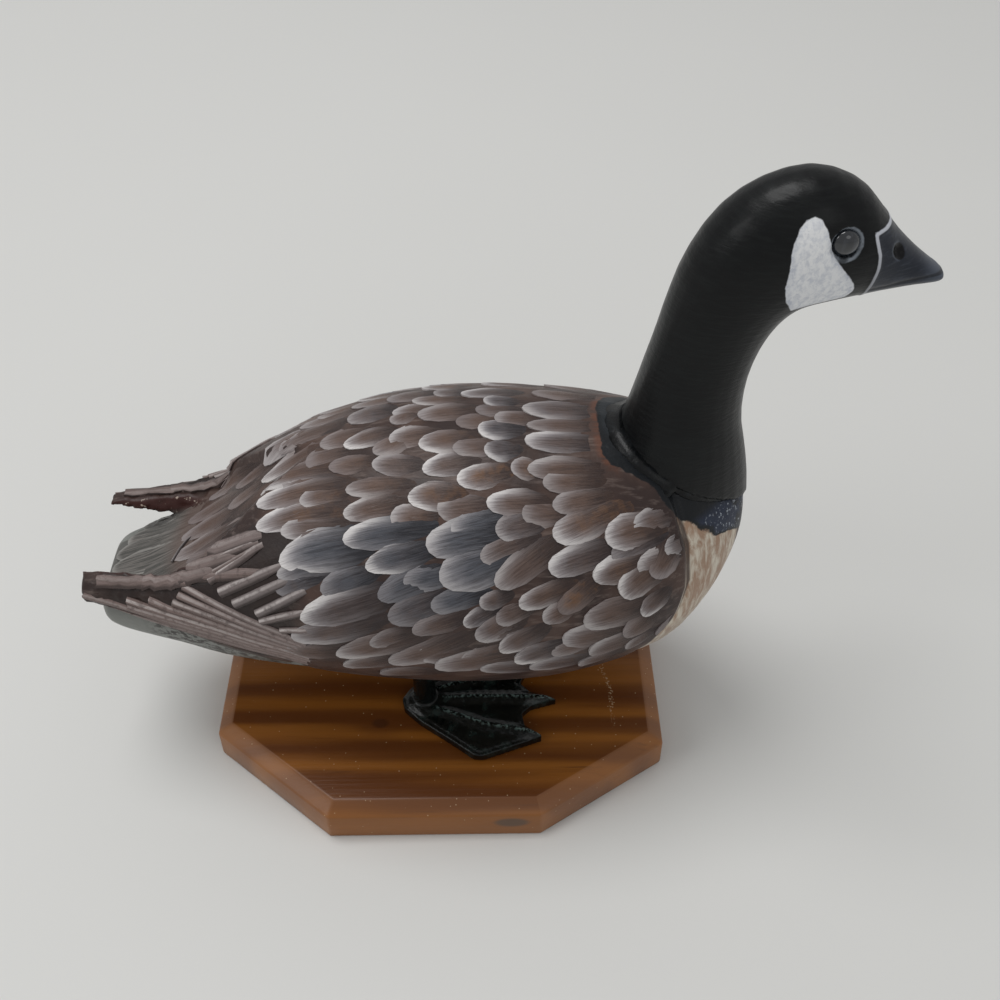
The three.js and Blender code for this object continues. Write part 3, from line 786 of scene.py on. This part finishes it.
veil = to_rim.rise(0.12, 1.0) * (rim_share * 0.8 + 0.2) * (near_tip * 0.7 + 0.3) * u.rise(0.2, 0.6)
vane = (veil * (0.6 + second_luck * 0.3)).paint(vane, RIM_LILAC)
bright = to_rim.rise(0.60, 1.12) * (rim_share * 1.5 - 0.55).most(0.0).least(1.0) * u.rise(0.45, 0.92)
vane = (bright * 0.95).paint(vane, RIM_WHITE)
vane = (hairs.rise(0.60, 0.78) * 0.30 * u.rise(0.25, 0.6)).paint(vane, RIM_LILAC)
vane = (hairs.rise(0.46, 0.28) * 0.5).paint(vane, FEATHER_DARK)
feather_paint = quill.finish(vane, mottle * 0.25 + 0.3, strokes * 0.5 + hairs * 0.5, 0.00045)

def path_spot(path):
    """The same for a feather laid along a path of rough places, from its tip to its root, in mm."""
    path = [Vector(place) * MM for place in path]
    spans = [(b - a).length for a, b in zip(path[:-1], path[1:])]

    def spot_of(back, across):
        left = back * MM
        for i, span in enumerate(spans):
            if left <= span or i == len(spans) - 1:
                break
            left -= span
        run = (path[i + 1] - path[i]).normalized()
        middle, normal, _, _ = ground.find_nearest(path[i] + run * left)
        beside = run.cross(normal).normalized()
        spot, normal, _, _ = ground.find_nearest(middle + beside * across * MM)
        return spot, normal, 9.0
    spot_of.length = sum(spans) / MM
    return spot_of


groups = {}
for i, (tip_x, angle, length, width, lean, rim, slate_share, rust_share) in enumerate(plan):
    name = "back_feathers" if abs(angle) < 41 else ("right" if angle > 0 else "left") + "_wing_feathers"
    group = groups.setdefault(name, FeatherGroup(name))
    lift = (FEATHER_LIFT + 0.2 * (rim > 0.85) - 0.3 * (i in fillers)) * (0.7 if abs(angle) < 41 else 1)
    group.lay(body_spot(tip_x, angle, lean), length * HIDDEN_SHARE, width / 2 * WIDENED, rim, slate_share,
              rust_share, lift=lift, camber=FEATHER_CAMBER * (0.75 if abs(angle) < 41 else 1))
for group in groups.values():
    group.gather(feather_paint)


# The flight feathers, rump and tail. The flight feathers are long thin laths with gouged grooves
# between, their ends cut off square in steps. The rump has long soft strokes, and the tail a fan.
FLIGHT_LATHS = [
    # path from tip to root on the right side, half width, pale crest, how grey, in mm and shares
    (((-101, -35.5, 105.6), (-81, -45, 101), (-50, -56, 93.5)), 1.9, .55, .3),
    (((-103.5, -37.5, 102.3), (-82, -46, 98.2), (-50, -56.3, 91)), 1.9, .45, .2),
    (((-106, -38.5, 99), (-85, -45.5, 95.2), (-50, -56, 88.5)), 2.0, .6, .2),
    (((-116, -36.5, 97.5), (-92, -43, 92.5), (-50, -55.5, 86)), 2.1, .4, .1),
    (((-126, -33.5, 95.2), (-98, -41, 90), (-50, -55, 83.5)), 2.4, .8, .1),
    (((-126, -34, 92), (-94, -42, 87), (-50, -54.5, 81)), 2.3, .45, .1),
    (((-144, -28, 94), (-124, -33.8, 90), (-96, -41.3, 84.5), (-52, -53.8, 78.3)), 2.2, .35, .1),
    (((-143, -27, 91.5), (-122, -33, 87.3), (-96, -40.5, 81.8), (-52, -53, 75.8)), 1.7, .3, .2),
]
COVERT_LATHS = [
    (((-90, -30, 115.3), (-68, -32, 128)), 1.8, .85, .4), (((-89.5, -36.5, 110.5), (-66, -33.5, 128)), 2.1, 1, .5),
    (((-85, -40.9, 107.8), (-58, -42, 124.5)), 2.3, .75, .6), (((-79, -44.6, 105), (-54, -46, 121.5)), 2.2, .7, .7),
    (((-69.5, -48.7, 103.6), (-48, -50.5, 119.5)), 2.1, .95, .7), (((-68.3, -49.8, 100.3), (-49, -53.6, 111)), 1.9, .9, .5),
    (((-60.3, -52.8, 98), (-47, -55.5, 103.5)), 1.7, 1, .4), (((-87, -34, 113), (-70, -33, 124)), 1.3, .5, .3),
    (((-99, -31, 107), (-84, -35, 112), (-66, -40, 119)), 2.6, .15, .2),
]
STEP_PLATES = [
    (((-138, -26.3, 99.5), (-110, -29.5, 101.5)), 2.6, .2, .2), (((-118, -29, 101.3), (-96, -31.5, 104.5)), 2.9, .25, .2),
    (((-106, -30.5, 103.5), (-84, -32, 112)), 3.0, .2, .3), (((-97, -28.5, 108), (-76, -31, 120)), 3.1, .25, .3),
    (((-88.5, -25.5, 115), (-66, -29, 129)), 3.2, .3, .4),
]
RUMP_STROKES = [
    # path, half width, pale rim
    (((-111, -8.5, 95), (-92, -12, 110), (-66, -17, 135)), 5.4, .55), (((-105, -17, 102), (-90, -21, 114), (-66, -25, 133)), 5.2, .3),
    (((-109, 1, 97), (-92, -2, 110), (-68, -4, 131)), 5.4, .4), (((-107, 10.5, 97), (-92, 8, 110), (-68, 4, 130)), 5.4, .3),
    (((-100, 19, 103), (-88, 20, 113), (-68, 14, 129)), 5.2, .3), (((-92, 26, 111), (-82, 27, 118), (-66, 24, 131)), 5.0, .35),
    (((-98, -24, 107.5), (-84, -27, 117), (-64, -30, 131)), 4.0, .25), (((-88, -14, 113), (-80, -15, 120), (-62, -18, 137)), 4.6, .3),
    (((-86, 0, 116), (-78, 0, 123), (-62, 0, 137)), 4.6, .35), (((-85, 12, 117), (-78, 11, 124), (-62, 10, 137)), 4.6, .3),
]
WHITE_STROKE = ((-110.8, -11.8, 95.3), (-107.5, -6, 97.5), (-103.5, -2.2, 100.8))
TAIL_FAN = [
    # tip and root on the tail's top, half width, how far it is lifted over its neighbours
    ((-131, 22, 81), (-100, 15, 97), 7.0, .25), ((-137.5, 14.5, 83), (-100, 10, 98), 7.2, .6),
    ((-131, -22, 81), (-100, -15, 97), 7.0, .25), ((-137.5, -13.5, 83), (-100, -9, 98), 7.2, .6),
    ((-142, 6, 84), (-100, 4, 98), 7.4, .95), ((-141.5, -4.5, 84), (-100, -3, 98), 7.4, 1.3),
]
LATH_CUT_SHADE = (0.030, 0.019, 0.017, 1)
LATH_BROWN = (0.125, 0.083, 0.070, 1)
LATH_PINK = (0.215, 0.150, 0.135, 1)
LATH_PALE = (0.60, 0.55, 0.53, 1)
TAIL_GREY = (0.175, 0.160, 0.148, 1)
TAIL_DARK = (0.060, 0.058, 0.052, 1)

lath = Finish("painted_laths", 0.45, coat=0.08, coat_roughness=0.3, gloss=0.3)
lay = lath.node("UVMap", {}, {"uv_map": "along_and_across"})
u, v, _ = lath.axis(lay)
rim_share, slate, rust, luck = [lath.field(name) for name in ("rim", "slate", "rust", "luck")]
strokes = lath.noise(
    lath.node("CombineXYZ", {0: u * 4 + luck * 37, 1: v * 5 + luck * 13, 2: luck * 7}), 1.0, 5, 0.65)
chisel = lath.noise(lath.place, 330, 4, 0.65)
plain = (strokes.rise(0.35, 0.62) * 0.7 + luck * 0.3).paint(LATH_BROWN, LATH_PINK)
plain = (slate * 0.8).paint(plain, (0.17, 0.165, 0.17, 1))
# Painted shade: each lath is darkened along one side and along the thin edge of the other, for the gouged grooves
# between laths.
below = v * rust
edge = below + (strokes - 0.5) * 0.5
plain = (edge.rise(0.25, 0.75) * 0.8).paint(plain, LATH_CUT_SHADE)
plain = (edge.rise(-0.85, -1.0) * 0.8).paint(plain, LATH_CUT_SHADE)
crest_place = below + 0.42 + (strokes - 0.5) * 0.35
crest = crest_place.sum("ABSOLUTE", crest_place).rise(0.42, 0.10) * (0.55 + chisel.rise(0.40, 0.55) * 0.45)
plain = (crest * rim_share * (0.35 + u * 0.6)).paint(plain, LATH_PALE)
# Painted shade: dark flecks for the chisel cuts.
plain = (chisel.rise(0.44, 0.34) * 0.35).paint(plain, LATH_CUT_SHADE)
lath_paint = lath.finish(plain, chisel * 0.2 + 0.35, strokes * 0.6 + chisel * 0.4, 0.0006)

fan = Finish("painted_tail", 0.45, coat=0.08, coat_roughness=0.3, gloss=0.3)
lay = fan.node("UVMap", {}, {"uv_map": "along_and_across"})
u, v, _ = fan.axis(lay)
luck = fan.field("luck")
strokes = fan.noise(
    fan.node("CombineXYZ", {0: u * 2.5 + luck * 37, 1: v * 9 + luck * 13, 2: luck * 7}), 1.0, 4, 0.62)
tail_colour = strokes.rise(0.38, 0.64).paint(TAIL_DARK, TAIL_GREY)
edge = v.sum("ABSOLUTE", v) + (strokes - 0.5) * 0.4
edge = edge.most(((u - 0.64).most(0.0) / 0.36) ** 2 + v * v) + (strokes - 0.5) * 0.3
tail_colour = (edge.rise(0.60, 1.0) * 0.6).paint(tail_colour, (0.34, 0.33, 0.31, 1))
tail_colour = (edge.rise(0.98, 1.12) * 0.6).paint(tail_colour, TAIL_DARK)
tail_colour = (u.rise(0.45, 0.15) * 0.7).paint(tail_colour, LATH_BROWN)
tail_paint = fan.finish(tail_colour, strokes * 0.2 + 0.35, strokes, 0.0004)

for side, sign in (("right", 1), ("left", -1)):
    flight = FeatherGroup(f"{side}_flight_feathers", blade)
    for laths, lift, camber in ((FLIGHT_LATHS, 0.7, 1.1), (COVERT_LATHS, 0.9, 0.9), (STEP_PLATES, 1.2, 0.5)):
        for path, half_width, crest_share, grey in laths:
            spot_of = path_spot([(px, sign * py, pz) for px, py, pz in path])
            flight.lay(spot_of, spot_of.length, half_width, crest_share, grey, sign, lift=lift,
                       camber=camber, sunk=0.1)
    flight.gather(lath_paint)
rump = FeatherGroup("rump_feathers", paddle)
for path, half_width, pale in RUMP_STROKES:
    spot_of = path_spot(path)
    rump.lay(spot_of, spot_of.length, half_width, pale, 0.15, 0, lift=0.4, camber=0.45, sunk=0.3)
rump.gather(feather_paint)
tail_accent = FeatherGroup("rump_white_stroke", blade)
spot_of = path_spot(WHITE_STROKE)
tail_accent.lay(spot_of, spot_of.length, 0.7, 1, 1, 1, lift=1.0, camber=0.3, sunk=-0.6)
tail_accent.gather(lath_paint)
tail = FeatherGroup("tail_feathers", paddle)
for tip, root, half_width, lifted in TAIL_FAN:
    spot_of = path_spot([tip, root])
    tail.lay(spot_of, spot_of.length, half_width, .5, .5, 0, lift=lifted, camber=0.4, sunk=0.1, depth=0.4)
tail.gather(tail_paint)


# The neck and head. A second block, set on the body with a thin glue line, sanded smooth and painted
# satin black, with an off-white cheek patch, a slate bill and a fine white line where the bill starts.
NECK_SKIN = 0.9 * MM
SEAT_PLACE = np.array([0.0760, 0, 0.1575])
SEAT_NORMAL = np.array([0.509, 0, 0.861])
CHEEK = [
    (130.8, 260.0), (128.4, 258.8), (126.6, 256.2), (125.3, 252.4), (124.7, 248), (125.0, 241.7),
    (124.7, 235.1), (126.1, 228.4), (129.6, 222.6), (138, 224.2), (147.6, 226.6), (149.5, 230.9),
    (148.6, 234.6), (145.9, 238.4), (142.2, 242.9), (138.9, 247), (136.9, 252), (135.4, 256.2),
    (133.3, 259.2),
]
BILL_BASE = [(222, 154.6), (226, 154.8), (233, 155.4), (240, 156.3), (245, 155.8), (251, 153.5), (255, 152.7)]
BILL_RIDGE_START = 252.2
NOSTRIL = (163.9, 243.2)
MOUTH = [(155.5, 229.2), (162.3, 229.6), (167.1, 230.6), (172.5, 231.2), (178.2, 231.3), (184, 230.9)]
HEAD_BLACK = (0.0022, 0.0027, 0.0032, 1)
HEAD_SHEEN = (0.0055, 0.0070, 0.0072, 1)
CHEEK_WHITE = (0.82, 0.83, 0.84, 1)
CHEEK_BLUE = (0.50, 0.53, 0.60, 1)
BILL_SLATE = (0.017, 0.021, 0.031, 1)
BILL_NAIL = (0.075, 0.088, 0.115, 1)
LINE_WHITE = (0.62, 0.64, 0.70, 1)

neck = merged_copy("neck_and_head", "painted_neck_and_head")
bpy.ops.object.mode_set(mode="OBJECT")
apply(neck, "REMESH", mode="VOXEL", voxel_size=NECK_SKIN)
co = points_of(neck)
off_seat = ((co - SEAT_PLACE) @ SEAT_NORMAL) / MM
sanded = neck.vertex_groups.new(name="sanded")
on_neck = (co[:, 0] < 154 * MM) & (off_seat > 3)
sanded.add([int(i) for i in np.nonzero(on_neck)[0]], 1.0, "REPLACE")
sanded.add([int(i) for i in np.nonzero(~on_neck)[0]], 0.2, "REPLACE")
apply(neck, "SMOOTH", factor=0.5, iterations=22, vertex_group="sanded")
neck.vertex_groups.clear()
bpy.ops.object.shade_smooth()


co = points_of(neck)
normals = np.zeros(len(neck.data.vertices) * 3)
neck.data.vertices.foreach_get("normal", normals)
normals = normals.reshape(-1, 3)
px, py, pz = (co / MM).T
base = np.array(BILL_BASE)
bill = px - np.interp(pz, base[:, 0], base[:, 1])
bill = np.minimum(bill, BILL_RIDGE_START + 0.02 * np.abs(py) - pz)
nostril = np.hypot((px - NOSTRIL[0] + 0.5 * (pz - NOSTRIL[1])) / 1.7, (pz - NOSTRIL[1]) / 2.1)
mouth, mouth_share = distance_to_line(px, pz, MOUTH)
on_bill = np.clip(bill, 0, 1)
depth = 1.3 * np.exp(-nostril ** 4) * (np.abs(py) > 4)
depth += 0.35 * np.exp(-(mouth / 0.7) ** 2) * on_bill
depth -= 0.25 * np.exp(-(bill / 0.8) ** 2) * (pz > 224)
co -= normals * (depth * MM)[:, None]
move_points(neck, co)
store(neck, "cheek", np.where(np.abs(py) > 6, inside_patch(px, pz, CHEEK), -9))
store(neck, "bill", np.where(pz > 215, bill, -50))
store(neck, "nostril", np.where(np.abs(py) > 3, nostril, 9))
store(neck, "mouth", mouth)
store(neck, "eye_ring", np.where(np.abs(py) > 5, np.hypot(px - 142.9, pz - 250.4), 99))

sleek = Finish("satin_black", 0.30, coat=0.05, coat_roughness=0.15, gloss=0.2)
x, y, z = sleek.axis()
wobble = sleek.noise(sleek.place, 320, 3, 0.6) - 0.5
brush = sleek.noise(sleek.stretched((130, 130, 760), (0, -0.35, 0)), 1.0, 4, 0.6, 0.3)
cloudy = sleek.noise(sleek.place, 34, 3)
cover = (brush.rise(0.42, 0.68) * 0.6 + cloudy.rise(0.45, 0.7) * 0.4).paint(HEAD_BLACK, HEAD_SHEEN)
cheek = sleek.field("cheek") + wobble * 0.9
mottled = sleek.noise(sleek.stretched((520, 520, 330)), 1.0, 5, 0.68, 0.4)
whiteness = mottled.rise(0.34, 0.60) * 0.6 + z.rise(0.238, 0.256) * 0.25 + cheek.rise(0.5, 3.0) * 0.3
cheek_paint = whiteness.least(1.0).paint(CHEEK_BLUE, CHEEK_WHITE)
cover = cheek.rise(-0.35, 0.15).paint(cover, cheek_paint)
beak = sleek.field("bill") + wobble * 0.4
beak_paint = x.rise(0.172, 0.184).paint(BILL_SLATE, BILL_NAIL)
beak_paint = (brush.rise(0.5, 0.72) * 0.35).paint(beak_paint, BILL_NAIL)
cover = beak.rise(-0.2, 0.1).paint(cover, beak_paint)
white_line = beak.sum("ABSOLUTE", beak).rise(0.85, 0.35) * z.rise(0.222, 0.2235)
line_strength = z.rise(0.228, 0.252) * 0.5 + 0.42
cover = (white_line * line_strength).paint(cover, LINE_WHITE)
hole = sleek.field("nostril")
# Painted highlight: a pale rim on the nostril's rear edge.
cover = (hole.rise(1.8, 1.45) * x.rise(0.1650, 0.1630) * 0.22).paint(cover, (0.20, 0.23, 0.28, 1))
# Painted shade: the nostril hollow is painted near black.
cover = hole.rise(1.45, 1.25).paint(cover, (0.002, 0.002, 0.003, 1))
# Painted shade: a dark line is painted along the mouth groove.
mouth_groove_shade = sleek.field("mouth").rise(0.8, 0.3) * beak.rise(0.3, 0.8)
cover = (mouth_groove_shade * 0.7).paint(cover, (0.006, 0.007, 0.009, 1))
ring_away = sleek.field("eye_ring") - 5.3 + wobble * 1.3
ring_line = ring_away.sum("ABSOLUTE", ring_away).rise(0.95, 0.3)
ring_break = sleek.noise(sleek.place, 240, 2).rise(0.35, 0.6)
cover = (ring_line * (ring_break * 0.6 + 0.2)).paint(cover, (0.26, 0.29, 0.33, 1))
neck_paint = sleek.finish(cover, brush * 0.2 + 0.26, brush * 0.7 + mottled * 0.3, 0.00025)
placed(neck, "black_paint", neck_paint, "neck_and_head")


# The joint under the neck. Glue and thick black paint fill the corner between neck and body, deep at
# the back of the neck and only a thin line on the breast.
JOINT_STEPS, JOINT_CURVE_STEPS = 96, 6
JOINT_AT_BACK, JOINT_AT_FRONT = 4.2 * MM, 0.5 * MM

seat_middle = Vector((0.1030, 0, 0.1416))
seat_down = Vector((0.861, 0, -0.509))
seat_up = Vector(SEAT_NORMAL)
neck_skin = BVHTree.FromObject(neck, bpy.context.evaluated_depsgraph_get())
joint_points, joint_faces = [], []
ring_size = JOINT_CURVE_STEPS + 2
for i in range(JOINT_STEPS):
    turn = 2 * math.pi * i / JOINT_STEPS
    out = seat_down * math.cos(turn) + Vector((0, math.sin(turn), 0))
    share = (0.5 - 0.5 * math.cos(turn)) ** 0.8
    size = JOINT_AT_FRONT + (JOINT_AT_BACK - JOINT_AT_FRONT) * share
    far = seat_middle + out * 0.08
    top, _, _, _ = neck_skin.ray_cast(far + seat_up * size, -out)
    corner, _, _, _ = neck_skin.ray_cast(far + seat_up * 0.5 * MM, -out)
    low, _, _, _ = ground.ray_cast(far - seat_up * size * 0.6, -out)
    top, low = top - out * 0.2 * MM, low - out * 0.2 * MM
    bend = corner - out * 0.1 * MM
    for step in range(JOINT_CURVE_STEPS + 1):
        t = step / JOINT_CURVE_STEPS
        joint_points.append(top * (1 - t) ** 2 + bend * 2 * t * (1 - t) + low * t * t)
    joint_points.append((top + low) / 2 - out * 2.2 * MM)
    following = (i + 1) % JOINT_STEPS
    for j in range(ring_size):
        k = (j + 1) % ring_size
        joint_faces.append((i * ring_size + j, following * ring_size + j,
                            following * ring_size + k, i * ring_size + k))
joint_mesh = bpy.data.meshes.new("neck_joint_paint")
joint_mesh.from_pydata([tuple(p) for p in joint_points], [], joint_faces)
joint = bpy.data.objects.new("neck_joint_paint", joint_mesh)
bpy.context.scene.collection.objects.link(joint)
bpy.ops.object.select_all(action="DESELECT")
joint.select_set(True)
bpy.context.view_layer.objects.active = joint
bpy.ops.object.mode_set(mode="EDIT")
bpy.ops.mesh.select_all(action="SELECT")
bpy.ops.mesh.normals_make_consistent(inside=False)
bpy.ops.object.mode_set(mode="OBJECT")
bpy.ops.object.shade_smooth()
filler_paint = Finish("thick_black_paint", 0.3, coat=0.1, coat_roughness=0.2, gloss=0.2)
lumps = filler_paint.noise(filler_paint.place, 240, 4, 0.6)
filler_colour = lumps.rise(0.5, 0.8).paint(HEAD_BLACK, (0.010, 0.013, 0.016, 1))
placed(joint, "black_paint", filler_paint.finish(filler_colour, lumps * 0.2 + 0.25, lumps, 0.0005))


# The eyes. Two round glass-like beads of dark grey, let into the sides of the head.
EYE_PLACE_ON_HEAD = (142.6 * MM, 15.4 * MM, 250.4 * MM)
EYE_RADIUS = 4.9 * MM
EYE_FLATNESS = 0.62
eye_gloss = Finish("eye_bead", 0.08, coat=1.0, coat_roughness=0.03)
# Painted reflection: pale vertical streaks on the dark bead stand for the room mirrored in the glass.
eye_reflection_streaks = eye_gloss.noise(eye_gloss.stretched((420, 420, 60)), 1.0, 3)
eye_colour = eye_reflection_streaks.rise(0.5, 0.8).paint((0.008, 0.010, 0.014, 1), (0.050, 0.056, 0.070, 1))
eye_paint = eye_gloss.finish(eye_colour)
for side, sign in (("right", -1), ("left", 1)):
    bpy.ops.object.select_all(action="DESELECT")
    bpy.ops.mesh.primitive_uv_sphere_add(
        segments=40, ring_count=20, radius=EYE_RADIUS,
        location=(EYE_PLACE_ON_HEAD[0], sign * EYE_PLACE_ON_HEAD[1], EYE_PLACE_ON_HEAD[2]))
    bead = bpy.context.active_object
    bead.name = f"{side}_eye_bead"
    bead.scale = (1, EYE_FLATNESS, 1)
    bpy.ops.object.transform_apply(location=True, rotation=True, scale=True)
    bpy.ops.object.shade_smooth()
    placed(bead, "eye", eye_paint, f"{side}_eye")
